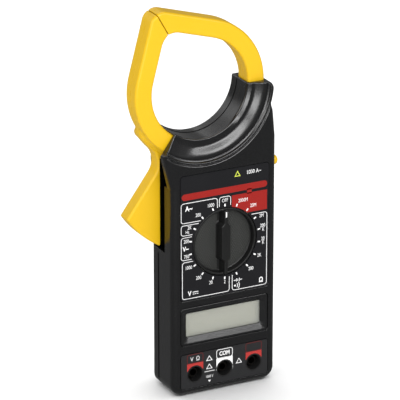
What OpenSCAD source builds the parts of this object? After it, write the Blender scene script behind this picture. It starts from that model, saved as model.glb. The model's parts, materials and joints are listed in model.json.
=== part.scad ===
/* [Body] */
// Half of the body's width
body_half = 33.3; // [30:1:38]
// Y of the flat front face
front_y = -13.5; // [-15:0.5:-12]
// Y where the two case halves meet
parting_y = 5; // [4:0.5:6]
// Y of the flat back face
back_y = 19.5; // [19:0.5:24]
// Wall thickness of the case
wall = 2.2; // [1.8:0.1:2.6]
// Radius of the bottom corners
corner_r = 7; // [4:0.5:9]

/* [Jaws] */
// X of the jaw ring's centre
ring_x = -11.8; // [-12:0.1:-11]
// Z of the jaw ring's centre
ring_z = 182.5; // [182:0.5:184]
// Inner radius of the jaw ring
ring_in = 30.1; // [29.9:0.1:31]
// Outer radius of the jaw ring
ring_out = 40.7; // [40:0.1:41]
// Half of the jaws' thickness
jaw_half = 6.5; // [6:0.1:6.6]
// Gap between the two jaw tips
tip_gap = 0.4; // [0.3:0.1:1]
// X of the moving jaw's pivot
pivot_x = -5; // [-5.5:0.1:-4.5]
// Z of the moving jaw's pivot
pivot_z = 142; // [141.5:0.1:142.5]
// Radius of the trigger's lower edge about the pivot
trigger_r = 60; // [57:0.5:60]

/* [Controls] */
// Z of the range dial's centre
dial_z = 91.25; // [90:0.25:93]
// Outer radius of the range knob
knob_r = 20.3; // [19:0.1:20.4]
// Distance between neighbouring test-lead jacks
jack_pitch = 19.05; // [19.05:0.05:19.05]
// Z of the jacks' axes
jack_z = 12.5; // [12:0.1:13]
// Bore radius of a jack's contact tube
jack_bore_r = 2.02; // [2.0:0.01:2.05]
// Z of the hold button's axis
hold_z = 132.6; // [131:0.1:134]

/* [Hidden] */
$fn = 64;
fit = 0.2;
front_r = 4;
front_in = front_y + wall;
back_in = back_y - 2;
chamfer_y = 10.7;
chamfer_in = 5;
body_top = 166;
shoulder_z = 150;
shoulder_in = 1.4;
label_t = 0.4;
// labels as [x0, z0, x1, z1, corner radius]
face_area = [-28.2, 59.1, 28.2, 134.9, 1.9];
jack_area = [-28.1, 4.1, 28.1, 25.4, 1.4];
rear_area = [-21.8, 84.2, 21.8, 125.8, 1.8];
// where the case lets the trigger, the dial and the jacks through
slot_z0 = 86.5;
slot_z1 = 130;
dial_hole_r = knob_r + 0.4;
jack_hole_r = 5.4;
// screw posts, the threads that bite in them and the heads
post_r = 3.1;
post_hole_r = 1.6;
thread_r = 1.25;
head_y = 13;
head_r = 2.6;
head_t = 2;
board_post_r = 2.2;
board_thread_r = 0.9;
board_head_r = 1.9;
board_head_t = 1.2;
// jaw window, its rim and the collar that grips the jaws
collar_in = 28.7;
collar_out = 44;
collar_wall = 1;
collar_start = 234;
collar_back = 12;
channel_front = -6.9;
channel_back = 10.3;
tangent_left = 165.2;
tangent_top = 74.3;
split_a = (tangent_left + tangent_top) / 2;
corner_k = 1 / cos((tangent_left - tangent_top) / 2);
tip_cut_out = 54.4;
tip_cut_in = 39.85;
moving_end = 279;
fixed_end = -67;
jaw_wall = 1.6;
core_in = 33.2;
core_out = 38;
core_half = 3.6;
coil_start = 185;
coil_end = 222;
hub_r = 7.5;
hub_front = -3;
trigger_back = 10;
trigger_step = 7;
slot_front = -3;
bush_r = 4;
pin_r = 2;
pin_front = -9.4;
pin_back = collar_back - 0.7;
pivot_boss_r = 3.2;
bush_bore = pin_r + 0.05;
neck_x = -47.5;
neck_z = 140;
neck_r = 12;
board_y0 = -4;
board_y1 = -2.4;
board_top = 124;
knob_back = -7.5;
recess_y = -9.2;
grip_y = -15.5;
rotor_r = 22.3;
shaft_r = 3.2;
shaft_end = -1.3;
pointer_w = 0.9;
pointer_z = 15.4;
pointer_h = 3.2;
bar_w = 2.65;
bar_h = 9.9;
tip_w = 1;
ball_x = 22.2;
ball_r = 0.95;
spring_hole_x = 16;
rotor_y = -6.4;
rotor_back = -5.3;
detent_in = 23.3;
detent_out = 25;
positions = 18;
lcd_x = 28.2;
lcd_z0 = 31.2;
lcd_z1 = 54.4;
pane_x = 23.9;
pane_z0 = 35.8;
pane_z1 = 50.2;
frame_x = 26.6;
frame_z0 = 33.2;
frame_z1 = 52.4;
glass_x = 25.1;
glass_z = 34.1;
glass_h = 17;
window_t = 0.8;
glass_front = -8.9;
glass_t = 1.5;
hold_y = -5;
hold_r = 2.85;
hold_flange_r = 3.7;
hold_board_x = 19.1;
jack_front = -10.6;
jack_back = -1.2;
tube_r = 2.9;
tube_flange_r = 4.4;
shroud_r = 5.35;
shroud_in = 4.6;
// parts on the board as [x, z, width, height, thickness]
chips = [[-9, 58, 14, 14, 1.8], [12, 74, 10, 7, 1.6], [14, 96, 5, 4, 1.6], [-24, 40, 6, 9, 1.6],
  [18, 40, 7, 12, 3]];
trimmer_xs = [12, 20];
trimmer_z = 112;
trimmer_w = 6;
trimmer_t = 3;
buzzer_x = 20;
buzzer_z = 88;
buzzer_r = 7;
buzzer_t = 4;
battery_w = 26.5;
battery_t = 17.4;
battery_h = 46.4;
battery_z0 = 8;
terminal_x = 6.35;
terminal_y = 8.7;
terminal_r = 2.9;
terminal_h = 1.8;
snap_h = 3.4;
cover_x = 17;
cover_z0 = 5;
cover_z1 = 68;
cover_screw_z = 64.5;
cover_post_r = 3;
screw_r = 1.4;
rib_y = 8;
rib_t = 1.4;
screw_places = [[-24.5, 28], [24.5, 28], [-24.5, 72], [24.5, 150]];
jaw_screw_places = [[-14, 138], [-24, 142]];
board_screw_places = [[-26, 108], [26, 108], [26, 62], [0, 29.5]];

// A flat XZ outline made solid from y0 to y1
module slab(y0, y1) {
  translate([0, y1, 0]) rotate([90, 0, 0]) linear_extrude(y1 - y0) children();
}
// A cylinder along Y at (x, z)
module bar_y(x, z, r, y0, y1) {
  translate([x, y1, z]) rotate([90, 0, 0]) cylinder(r = r, h = y1 - y0);
}
// A profile in (radius, -y) turned about the ring's centre line
module ring_sweep(a0, a1) {
  translate([ring_x, 0, ring_z]) rotate([90, 0, 0]) rotate([0, 0, a0])
    rotate_extrude(angle = a1 - a0, $fn = 96) children();
}
function turn(cx, cz, r, a) = [cx + r * cos(a), cz + r * sin(a)];
function arc(cx, cz, r, a0, a1, n) = [for (i = [0:n]) turn(cx, cz, r, a0 + (a1 - a0) * i / n)];
function ring_pt(r, a) = turn(ring_x, ring_z, r, a);

// A round wire swept along 3-D points
function unit(v) = v / max(norm(v), 0.0001);
function way(p, i) = unit(p[min(i + 1, len(p) - 1)] - p[max(i - 1, 0)]);
function side_of(t, up) = unit(cross(t, up));
function wire_ring(p, i, r, n, up) = [for (k = [0:n - 1])
  p[i] + r * (cos(360 * k / n) * side_of(way(p, i), up)
            + sin(360 * k / n) * cross(side_of(way(p, i), up), way(p, i)))];
module wire(p, r, n, up) {
  last = len(p) - 1;
  polyhedron(
    points = [for (i = [0:last]) for (q = wire_ring(p, i, r, n, up)) q],
    faces = concat(
      [[for (k = [0:n - 1]) k]],
      [[for (k = [n - 1:-1:0]) last * n + k]],
      [for (i = [0:last - 1]) for (k = [0:n - 1])
        [i * n + k, (i + 1) * n + k, (i + 1) * n + (k + 1) % n, i * n + (k + 1) % n]]),
    convexity = 6);
}

// ---- outlines ----
module area(a, grow) {
  rounded_rect(a[0] - grow, a[1] - grow, a[2] + grow, a[3] + grow, a[4] + grow);
}
module rounded_rect(x0, z0, x1, z1, r) {
  union() {
    translate([x0 + r, z0]) square([x1 - x0 - 2 * r, z1 - z0]);
    translate([x0, z0 + r]) square([x1 - x0, z1 - z0 - 2 * r]);
    for (x = [x0 + r, x1 - r]) for (z = [z0 + r, z1 - r]) translate([x, z]) circle(r = r, $fn = 32);
  }
}
module body_outline(inset) {
  r = corner_r - inset;
  x = body_half - inset;
  top = body_top - inset;
  union() {
    translate([-x + r, inset]) square([2 * (x - r), r]);
    for (s = [-1, 1]) translate([s * (x - r), inset + r]) circle(r = r, $fn = 48);
    polygon([[-x, inset + r], [x, inset + r], [x, shoulder_z],
      [x - shoulder_in, top], [-x, top]]);
  }
}
module body_section(inset) {
  x = body_half - inset;
  y1 = inset == 0 ? back_y : back_in;
  rear_x = body_half - chamfer_in - inset * 0.8;
  r = max(front_r - inset, 1);
  y0 = front_y + inset;
  union() {
    translate([-x, y0 + r]) square([2 * x, chamfer_y - y0 - r - inset * 0.35]);
    translate([-x + r, y0]) square([2 * (x - r), r + 1]);
    for (s = [-1, 1]) translate([s * (x - r), y0 + r]) circle(r = r, $fn = 48);
    polygon([[-x, chamfer_y - inset * 0.35 - 0.01], [x, chamfer_y - inset * 0.35 - 0.01],
      [rear_x, y1], [-rear_x, y1]]);
  }
}
module teardrop(r, cut) {
  intersection() {
    union() {
      translate([ring_x, ring_z]) circle(r = r, $fn = 128);
      polygon([[ring_x, ring_z], ring_pt(r, tangent_top), ring_pt(r * corner_k, split_a),
        ring_pt(r, tangent_left)]);
    }
    translate([ring_x, ring_z]) rotate(split_a) translate([-80, -80]) square([80 + cut, 160]);
  }
}
module wedge(a0, a1, r) {
  polygon(concat([[ring_x, ring_z]], arc(ring_x, ring_z, r, a0, a1, 8)));
}
module jaw_outline(moving, inset) {
  a0 = moving ? split_a : fixed_end;
  a1 = moving ? moving_end : split_a;
  shift = (tip_gap / 2 + inset) * (moving ? 1 : -1);
  end_inset = inset * 2;
  difference() {
    teardrop(ring_out - inset, tip_cut_out - inset);
    teardrop(ring_in + inset, tip_cut_in + inset);
    wedge(moving ? a1 - end_inset : a1 - 360, moving ? a0 + 360 : a0 + end_inset, 120);
    translate([ring_x, ring_z]) rotate(split_a)
      translate([0, moving ? -80 : shift]) square([90, 80 + (moving ? shift : 0)]);
  }
}
// part of the moving jaw that joins the ring to the hub inside the case
module jaw_root() {
  union() {
    translate([pivot_x, pivot_z]) circle(r = hub_r);
    polygon([ring_pt(ring_out - 1, 238), [-27, 139], [-14, 133.5], [pivot_x, pivot_z - hub_r],
      [pivot_x, pivot_z + 2], ring_pt(ring_out - 1, 272)]);
  }
}
// at rest the trigger ends at the case's side, below the neck that joins it to the hub
module trigger_notch() {
  x = -body_half - 1;
  polygon([[x, slot_z0 - 6], [-12, slot_z0 - 6], [-12, 126], [-28, 133], [x, 136]]);
}
module neck_step() {
  x = -body_half - 1;
  polygon([[x, 130], [-28, 130], [-28, 141], [x, 141]]);
}
module trigger_outline() {
  a0 = 212.9;
  a1 = 241.2;
  polygon(concat(
    [[-44.4, 161.2], [-45.4, 160.4], [-46.3, 158.2], [-46, 156.9]],
    arc(neck_x, neck_z, neck_r, 50, -36.9, 10),
    arc(pivot_x, pivot_z, trigger_r, a0, a1, 10),
    [[-28, 95], [-13, 126], [pivot_x - 1, pivot_z - hub_r], [pivot_x, pivot_z],
      ring_pt(ring_out - 1, 262), ring_pt(ring_out - 1, 246), ring_pt(ring_out - 1, 232),
      ring_pt(ring_out - 1, 222), ring_pt(ring_out - 1, 214)]));
}

// ---- case ----
module collar_front_profile() {
  polygon(concat(
    [[collar_in, -parting_y], [collar_in, 6.2], [29.2, 7.2], [30, 7.6], [31.2, 7.6], [32.2, 8]],
    [for (i = [0:8]) [36.3 - 4 * cos(180 * i / 8), 8 + 3.6 * sin(180 * i / 8)]],
    [[40.7, 10.6], [41.6, 12.6], [42.8, 13.2], [collar_out, 12.7], [collar_out, -parting_y]]));
}
module collar_back_profile() {
  polygon([[collar_in, -parting_y], [collar_out, -parting_y], [collar_out, -collar_back + 1.2],
    [collar_out - 1.6, -collar_back], [collar_in + 2, -collar_back], [collar_in, -collar_back + 1.6]]);
}
module flare_outline() {
  polygon([[-body_half, 126], ring_pt(collar_out - 0.2, collar_start + 0.6),
    ring_pt(collar_out - 4, collar_start + 4), [-26, 150], [-26, 126]]);
}
module ring_hole(y0, y1, r) {
  bar_y(ring_x, ring_z, r, y0, y1);
}
// what the moving jaw and its trigger pass through, between y0 and y1
module sweep_room(y0, y1) {
  slab(y0, y1) difference() {
    polygon([ring_pt(ring_in - 0.4, collar_start - 6), ring_pt(60, collar_start - 6), [-60, 128],
      [-20, 127], [8, 131], ring_pt(ring_out + 0.2, fixed_end), ring_pt(ring_in - 0.4, fixed_end - 2)]);
    translate([ring_x, ring_z]) circle(r = collar_in + collar_wall, $fn = 96);
  }
}
module fixed_channel(y0, y1) {
  slab(y0, y1) intersection() {
    difference() {
      translate([ring_x, ring_z]) circle(r = ring_out + fit, $fn = 128);
      translate([ring_x, ring_z]) circle(r = collar_in + collar_wall, $fn = 96);
    }
    wedge(fixed_end - 3, 12, 120);
  }
}
module trigger_slot(y0, y1) {
  slab(y0, y1) polygon([[-60, slot_z0], [-20, slot_z0], [-20, slot_z1], [-60, slot_z1]]);
}
module cavity(y0, y1) {
  difference() {
    intersection() {
      slab(y0, y1) body_outline(wall);
      linear_extrude(200) body_section(wall);
    }
    ring_hole(y0 - 1, y1 + 1, collar_out - 0.6);
  }
}
module boss_row(r, y0, y1) {
  for (p = screw_places) bar_y(p[0], p[1], r, y0, y1);
}
module case_half(y0, y1) {
  difference() {
    union() {
      difference() {
        intersection() {
          slab(y0, y1) body_outline(0);
          linear_extrude(200) body_section(0);
        }
        ring_hole(y0 - 1, y1 + 1, collar_out - 1);
      }
      if (y0 == front_y) slab(front_y + 3.4, y1) difference() {
        flare_outline();
        translate([ring_x, ring_z]) circle(r = collar_out - 2.5, $fn = 96);
      }
    }
    cavity(y0 == front_y ? front_in : y0 - 1, y1 == back_y ? back_in : y1 + 1);
  }
}
module front_case() {
  color([0.2, 0.2, 0.2]) difference() {
    union() {
      case_half(front_y, parting_y);
      ring_sweep(collar_start, 360) collar_front_profile();
      boss_row(post_r, front_in - 0.5, parting_y);
      for (p = board_screw_places) bar_y(p[0], p[1], board_post_r, front_in - 0.5, board_y0);
      translate([hold_board_x - 1.5, front_in - 0.5, hold_z - 6]) cube([1.45, 5, 13]);
      bar_y(pivot_x, pivot_z, pivot_boss_r, channel_front - 1, hub_front - 0.3);
    }
    difference() {
      sweep_room(channel_front, parting_y + 1);
      bar_y(pivot_x, pivot_z, pivot_boss_r, channel_front - 1, hub_front - 0.3);
    }
    fixed_channel(channel_front, parting_y + 1);
    trigger_slot(slot_front, parting_y + 1);
    bar_y(pivot_x, pivot_z, pin_r, pin_front, parting_y);
    for (p = screw_places) bar_y(p[0], p[1], thread_r, -6, parting_y + 1);
    for (p = board_screw_places) bar_y(p[0], p[1], board_thread_r, -8.5, board_y0 + 1);
    slab(front_y - 1, front_y + label_t) area(face_area, 0.1);
    slab(front_y - 1, front_y + label_t) area(jack_area, 0.1);
    slab(front_y - 1, front_in + 1) rounded_rect(-lcd_x, lcd_z0, lcd_x, lcd_z1, 2);
    bar_y(0, dial_z, dial_hole_r, front_y - 1, front_in + 1);
    for (s = [-1, 0, 1]) bar_y(s * jack_pitch, jack_z, jack_hole_r, front_y - 1, front_in + 1);
    translate([0, hold_y, hold_z]) rotate([0, 90, 0]) cylinder(r = hold_r + 0.15, h = 60);
  }
}
module rear_case() {
  color([0.2, 0.2, 0.2]) difference() {
    union() {
      case_half(parting_y, back_y);
      ring_sweep(collar_start, 360) collar_back_profile();
      boss_row(post_r, parting_y, back_in + 0.5);
      for (s = [-1, 1]) translate([s * (cover_x + 0.8) - rib_t / 2, rib_y, cover_z0])
        cube([rib_t, back_in + 0.5 - rib_y, 54]);
      translate([-cover_x, rib_y, cover_z0 - 1.6]) cube([2 * cover_x, back_in + 0.5 - rib_y, rib_t]);
      bar_y(0, cover_screw_z, cover_post_r, 10, back_in - 0.05);
      translate([-2.2, 13, cover_screw_z + 0.5]) cube([4.4, back_in - 13.2, 3.5]);
      translate([-2.6, 12.6, cover_z1 - 0.6]) cube([5.2, back_in - 12, 2.6]);
    }
    sweep_room(parting_y - 1, channel_back);
    translate([-body_half - 20.3, parting_y - 1, 128]) cube([20, 20, 40]);
    fixed_channel(parting_y - 1, jaw_half + fit);
    trigger_slot(parting_y - 1, trigger_back + 1);
    bar_y(pivot_x, pivot_z, pin_r, parting_y, pin_back);
    for (p = screw_places) bar_y(p[0], p[1], post_hole_r, parting_y - 1, back_y);
    for (p = screw_places) bar_y(p[0], p[1], head_r + fit, head_y, back_y + 1);
    translate([-cover_x, back_in - 0.05, cover_z0]) cube([2 * cover_x, 4, cover_z1 - cover_z0]);
    bar_y(0, cover_screw_z, screw_r + 0.05, 9, back_y);
    slab(back_y - label_t, back_y + 1) area(rear_area, fit);
  }
}
module face_label() {
  color([0.15, 0.15, 0.17]) slab(front_y, front_y + label_t) difference() {
    area(face_area, 0);
    translate([0, dial_z]) circle(r = dial_hole_r);
  }
}
module jack_label() {
  color([0.15, 0.15, 0.17]) slab(front_y, front_y + label_t) difference() {
    area(jack_area, 0);
    for (s = [-1, 0, 1]) translate([s * jack_pitch, jack_z]) circle(r = jack_hole_r);
  }
}
module rear_label() {
  color([0.5, 0.5, 0.5]) slab(back_y - label_t, back_y) area(rear_area, 0);
}

// ---- display ----
module lcd_frame() {
  color([0.13, 0.13, 0.13]) difference() {
    union() {
      slab(front_y, front_in) rounded_rect(-lcd_x + 0.1, lcd_z0 + 0.1, lcd_x - 0.1, lcd_z1 - 0.1, 1.9);
      slab(front_in - 0.01, knob_back) rounded_rect(-frame_x, frame_z0, frame_x, frame_z1, 1);
    }
    translate([-glass_x - 0.1, front_in + 0.4, glass_z - 0.1]) cube([2 * glass_x + 0.2, 10, glass_h + 0.2]);
    slab(front_y - 1, front_in + 1) rounded_rect(-pane_x, pane_z0, pane_x, pane_z1, 1);
    hull() {
      slab(front_y - 0.02, front_y) rounded_rect(-26.9, 32.6, 26.9, 53.2, 1.4);
      slab(front_in - 0.42, front_in - 0.4) rounded_rect(-pane_x, pane_z0, pane_x, pane_z1, 1);
    }
  }
}
module lcd_window() {
  color([0.8, 0.85, 0.85]) translate([-glass_x, front_in + 0.4, glass_z])
    cube([2 * glass_x, window_t, glass_h]);
}
module lcd_glass() {
  color([0.76, 0.77, 0.68]) translate([-glass_x, glass_front, glass_z])
    cube([2 * glass_x, glass_t, glass_h]);
}
module zebra_strips() {
  color([0.9, 0.6, 0.6]) for (z = [glass_z + 0.2, glass_z + glass_h - 2.2])
    translate([-glass_x + 2.1, glass_front + glass_t, z])
      cube([2 * glass_x - 4.2, board_y0 - glass_front - glass_t, 2]);
}

// ---- electronics ----
module main_board() {
  color([0.1, 0.4, 0.2]) slab(board_y0, board_y1) difference() {
    rounded_rect(-29.6, 5, 29.6, board_top, 2);
    for (p = screw_places) translate([p[0], p[1]]) circle(r = 3.5);
    for (p = board_screw_places) translate([p[0], p[1]]) circle(r = 1.15);
    for (s = [-1, 0, 1]) translate([s * jack_pitch, jack_z]) circle(r = 3);
    translate([0, dial_z]) circle(r = shaft_r + fit);
  }
}
module board_chips() {
  color([0.1, 0.1, 0.1]) for (c = chips) translate([c[0], board_y1, c[1]]) cube([c[2], c[4], c[3]]);
}
module trimmers() {
  color([0.2, 0.3, 0.7]) for (x = trimmer_xs) {
    translate([x, board_y1, trimmer_z]) cube([trimmer_w, trimmer_t, trimmer_w]);
    bar_y(x + trimmer_w / 2, trimmer_z + trimmer_w / 2, 2, board_y1 + trimmer_t, board_y1 + trimmer_t + 0.6);
  }
}
module buzzer() {
  color([0.12, 0.12, 0.12]) difference() {
    bar_y(buzzer_x, buzzer_z, buzzer_r, board_y1, board_y1 + buzzer_t);
    bar_y(buzzer_x, buzzer_z, 1, board_y1 + buzzer_t - 1, board_y1 + buzzer_t + 1);
  }
}
module board_screws() {
  color([0.7, 0.7, 0.72]) for (p = board_screw_places) {
    bar_y(p[0], p[1], board_thread_r, -8, board_y1);
    bar_y(p[0], p[1], board_head_r, board_y1, board_y1 + board_head_t);
  }
}
module jack_tubes() {
  color([0.8, 0.65, 0.3]) for (s = [-1, 0, 1]) difference() {
    union() {
      bar_y(s * jack_pitch, jack_z, tube_r, jack_front, jack_back);
      bar_y(s * jack_pitch, jack_z, tube_flange_r, board_y0 - 1, board_y0);
    }
    bar_y(s * jack_pitch, jack_z, jack_bore_r, jack_front - 1, jack_back + 1);
  }
}
module jack_shrouds() {
  color([0.08, 0.08, 0.08]) for (s = [-1, 0, 1]) difference() {
    bar_y(s * jack_pitch, jack_z, shroud_r, front_y, board_y0 - 0.1);
    bar_y(s * jack_pitch, jack_z, shroud_in, front_y - 1, board_y0);
  }
}
module battery() {
  color([0.35, 0.35, 0.4]) {
    translate([-battery_w / 2, back_in - battery_t - 0.05, battery_z0])
      cube([battery_w, battery_t, battery_h]);
    for (s = [-1, 1]) translate([s * terminal_x, terminal_y, battery_z0 + battery_h])
      cylinder(r = terminal_r, h = terminal_h);
  }
}
module battery_snap() {
  color([0.1, 0.1, 0.1]) difference() {
    translate([-12, 3, battery_z0 + battery_h + 0.1]) cube([24, 12, snap_h]);
    for (s = [-1, 1]) translate([s * terminal_x, terminal_y, battery_z0 + battery_h])
      cylinder(r = terminal_r + 0.1, h = terminal_h + fit);
  }
}
module battery_leads() {
  top = battery_z0 + battery_h + snap_h + 0.1;
  for (s = [-1, 1]) color(s > 0 ? [0.8, 0.1, 0.1] : [0.1, 0.1, 0.1])
    wire(concat([[s * 4, 8, top]], [for (i = [0:12]) [s * (4 + 7 * sin(90 * i / 12)), 8 - 8 * i / 12,
      top + 0.8 + 5 * sin(180 * i / 12)]]), 0.6, 8, [0.02, 1, 0.02]);
}
module battery_pads() {
  color([0.3, 0.3, 0.3]) translate([-10, back_in - battery_t - 1.1, 19]) cube([20, 1, 25]);
}
module case_screws() {
  color([0.6, 0.6, 0.62]) for (p = screw_places) {
    bar_y(p[0], p[1], thread_r, -5.5, head_y);
    difference() {
      bar_y(p[0], p[1], head_r, head_y, head_y + head_t);
      translate([p[0] - 0.3, head_y + 1, p[1] - 1.6]) cube([0.6, head_t, 3.2]);
      translate([p[0] - 1.6, head_y + 1, p[1] - 0.3]) cube([3.2, head_t, 0.6]);
    }
  }
}

// ---- jaws ----
module shell(moving, y0, y1) {
  difference() {
    slab(y0, y1) jaw_outline(moving, 0);
    slab(max(y0 - 1, -jaw_half + jaw_wall), min(y1 + 1, jaw_half - jaw_wall)) jaw_outline(moving, jaw_wall);
  }
}
module core(moving) {
  slab(-core_half, core_half) intersection() {
    difference() {
      teardrop(core_out, tip_cut_out - 4);
      teardrop(core_in, tip_cut_in + 4.4);
    }
    jaw_outline(moving, jaw_wall + 0.4);
  }
}
module coil(a0, a1) {
  ring_sweep(a0, a1) difference() {
    translate([core_in - 1.3, -core_half - 1.2]) square([core_out - core_in + 2.3, 2 * core_half + 2.4]);
    translate([core_in - 0.1, -core_half - 0.1]) square([core_out - core_in + 0.2, 2 * core_half + 0.2]);
  }
}
module fixed_jaw_front() {
  color([0.95, 0.78, 0.15]) shell(false, -jaw_half, 0);
}
module fixed_jaw_rear() {
  color([0.95, 0.78, 0.15]) shell(false, 0, jaw_half);
}
module fixed_jaw_core() {
  color([0.5, 0.5, 0.52]) core(false);
}
module fixed_jaw_coil() {
  color([0.7, 0.35, 0.15]) coil(-40, 0);
}
module fixed_coil_leads() {
  color([0.8, 0.7, 0.2]) for (s = [-1, 1])
    wire([for (i = [0:12]) [11 + s * 1.2 + 4 * sin(180 * i / 12), -3 + 2.4 * sin(90 * i / 12),
      142 - 21 * i / 12]], 0.5, 8, [0, 1, 0.2]);
}
module moving_jaw_front() {
  color([0.95, 0.78, 0.15]) difference() {
    union() {
      shell(true, -jaw_half, 0);
      slab(hub_front, 0) difference() {
        jaw_root();
        translate([ring_x, ring_z]) circle(r = ring_out - jaw_wall, $fn = 128);
      }
    }
    bar_y(pivot_x, pivot_z, bush_r, -jaw_half - 1, 1);
    bar_y(pivot_x, pivot_z, hub_r - 0.3, -jaw_half - 1, hub_front);
    for (p = jaw_screw_places) bar_y(p[0], p[1], 1, hub_front - 1, 1);
  }
}
module moving_jaw_rear() {
  color([0.95, 0.78, 0.15]) difference() {
    union() {
      shell(true, 0, jaw_half);
      slab(0, trigger_back) difference() {
        union() {
          trigger_outline();
          jaw_root();
        }
        translate([ring_x, ring_z]) circle(r = ring_out - jaw_wall, $fn = 128);
      }
    }
    slab(-1, trigger_back + 1) trigger_notch();
    slab(-1, trigger_step) neck_step();
    bar_y(pivot_x, pivot_z, bush_r, -1, trigger_back + 1);
    for (p = jaw_screw_places) bar_y(p[0], p[1], 1, -1, trigger_back + 1);
    for (p = jaw_screw_places) bar_y(p[0], p[1], 2, trigger_back - 2, trigger_back + 1);
  }
}
module moving_jaw_core() {
  color([0.5, 0.5, 0.52]) core(true);
}
module moving_jaw_coil() {
  color([0.7, 0.35, 0.15]) coil(coil_start, coil_end);
}
module moving_jaw_screws() {
  color([0.7, 0.7, 0.72]) for (p = jaw_screw_places) {
    bar_y(p[0], p[1], 1, hub_front + 0.2, trigger_back - 2);
    bar_y(p[0], p[1], 1.9, trigger_back - 2, trigger_back - 0.6);
  }
}
module pivot_bush() {
  color([0.8, 0.65, 0.3]) difference() {
    bar_y(pivot_x, pivot_z, bush_r, hub_front, trigger_back);
    bar_y(pivot_x, pivot_z, bush_bore, hub_front - 1, trigger_back + 1);
  }
}
module pivot_pin() {
  color([0.7, 0.7, 0.72]) bar_y(pivot_x, pivot_z, pin_r, pin_front, pin_back);
}
// Torsion spring round the pivot boss, with one leg each way
module jaw_spring() {
  turns = 3;
  r = 4.2;
  y0 = -6.3;
  rise = 2.6;
  steps = turns * 14;
  color([0.75, 0.75, 0.78]) wire(concat(
    [[pivot_x + 8, y0, pivot_z - 2 - r], [pivot_x + 4, y0, pivot_z - r]],
    [for (i = [0:steps]) [pivot_x + r * cos(-90 - 360 * turns * i / steps), y0 + rise * i / steps,
      pivot_z + r * sin(-90 - 360 * turns * i / steps)]],
    [[pivot_x - 4, y0 + rise + 0.1, pivot_z - r], [pivot_x - 7, y0 + rise + 0.1, pivot_z - r]]),
    0.35, 6, [0, 1, 0.01]);
}

// ---- range selector ----
// the finger bar: a straight block with a narrow tip at each end
module grip_outline() {
  end = knob_r - 0.9;
  polygon([[-tip_w, end], [-tip_w, bar_h + 1.4], [-bar_w, bar_h], [-bar_w, -bar_h],
    [-tip_w, -bar_h - 1.4], [-tip_w, -end], [tip_w, -end], [tip_w, -bar_h - 1.4],
    [bar_w, -bar_h], [bar_w, bar_h], [tip_w, bar_h + 1.4], [tip_w, end]]);
}
module range_knob() {
  color([0.23, 0.24, 0.23]) difference() {
    union() {
      difference() {
        bar_y(0, dial_z, knob_r, front_y + 0.1, knob_back);
        bar_y(0, dial_z, knob_r - 1.2, front_y - 1, recess_y);
      }
      slab(grip_y, recess_y + 1) translate([0, dial_z]) grip_outline();
      bar_y(0, dial_z, shaft_r, knob_back - 1, shaft_end);
    }
    slab(grip_y - 1, grip_y + 0.6)
      translate([-pointer_w / 2, dial_z + pointer_z]) square([pointer_w, pointer_h]);
  }
}
module knob_pointer() {
  color([0.95, 0.95, 0.95]) slab(grip_y, grip_y + 0.6)
    translate([-pointer_w / 2 + 0.05, dial_z + pointer_z + 0.05]) square([pointer_w - 0.1, pointer_h - 0.1]);
}
module selector_rotor() {
  color([0.85, 0.85, 0.8]) difference() {
    bar_y(0, dial_z, rotor_r, knob_back, rotor_back);
    bar_y(0, dial_z, shaft_r, knob_back - 1, rotor_back + 0.3);
    for (s = [0, 180]) translate([0, rotor_y, dial_z]) rotate([0, s, 0]) translate([spring_hole_x, 0, 0])
      rotate([0, 90, 0]) cylinder(r = 1, h = 12);
  }
}
module wiper_contacts() {
  color([0.8, 0.65, 0.3]) for (a = [20, 140, 260]) translate([0, 0, dial_z]) rotate([0, a, 0])
    translate([9, rotor_back, -1.5]) union() {
      cube([9, 0.4, 3]);
      translate([7, 0, 0]) cube([2, 1.2, 3]);
    }
}
module detent_balls() {
  color([0.75, 0.75, 0.78]) for (s = [-1, 1]) translate([s * ball_x, rotor_y, dial_z])
    sphere(r = ball_r, $fn = 32);
}
module detent_springs() {
  color([0.75, 0.75, 0.78]) for (s = [-1, 1])
    wire([for (i = [0:50]) [s * (spring_hole_x + 0.3 + 4.8 * i / 50), rotor_y + 0.7 * cos(36 * i),
      dial_z + 0.7 * sin(36 * i)]], 0.15, 6, [1, 0.01, 0]);
}
module detent_ring() {
  color([0.3, 0.3, 0.3]) slab(front_in, rotor_back) difference() {
    translate([0, dial_z]) circle(r = detent_out);
    translate([0, dial_z]) circle(r = detent_in);
    for (i = [0:positions - 1])
      translate(turn(0, dial_z, detent_in + 0.3, i * 360 / positions)) circle(r = 0.9, $fn = 16);
  }
}
module knob_clip() {
  color([0.6, 0.6, 0.62]) difference() {
    bar_y(0, dial_z, shaft_r + 1.6, board_y1 + 0.15, board_y1 + 0.75);
    bar_y(0, dial_z, shaft_r, board_y1, board_y1 + 1);
  }
}

// ---- hold button ----
module along_x(x0, x1, r) {
  translate([x0, hold_y, hold_z]) rotate([0, 90, 0]) cylinder(r = r, h = x1 - x0);
}
module hold_button() {
  color([0.95, 0.78, 0.15]) union() {
    along_x(28.6, 36.6, hold_r);
    along_x(36.5, 37.3, hold_r - 0.5);
    along_x(37.2, 37.7, hold_r - 1.3);
    along_x(28.6, 30.3, hold_flange_r);
    along_x(27.8, 28.7, 1.2);
  }
}
module hold_spring() {
  color([0.75, 0.75, 0.78]) wire([for (i = [0:48]) [24.8 + 3.5 * i / 48, hold_y + 2.2 * cos(30 * i),
    hold_z + 2.2 * sin(30 * i)]], 0.25, 6, [1, 0.01, 0]);
}
module hold_switch() {
  color([0.15, 0.15, 0.15]) union() {
    translate([hold_board_x + 1.4, hold_y - 3, hold_z - 3]) cube([4, 6, 6]);
    along_x(24.4, 25.4, 1);
  }
}
module hold_board() {
  color([0.1, 0.4, 0.2]) translate([hold_board_x, hold_y - 5.5, hold_z - 6]) cube([1.4, 9.5, 14]);
}

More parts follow.
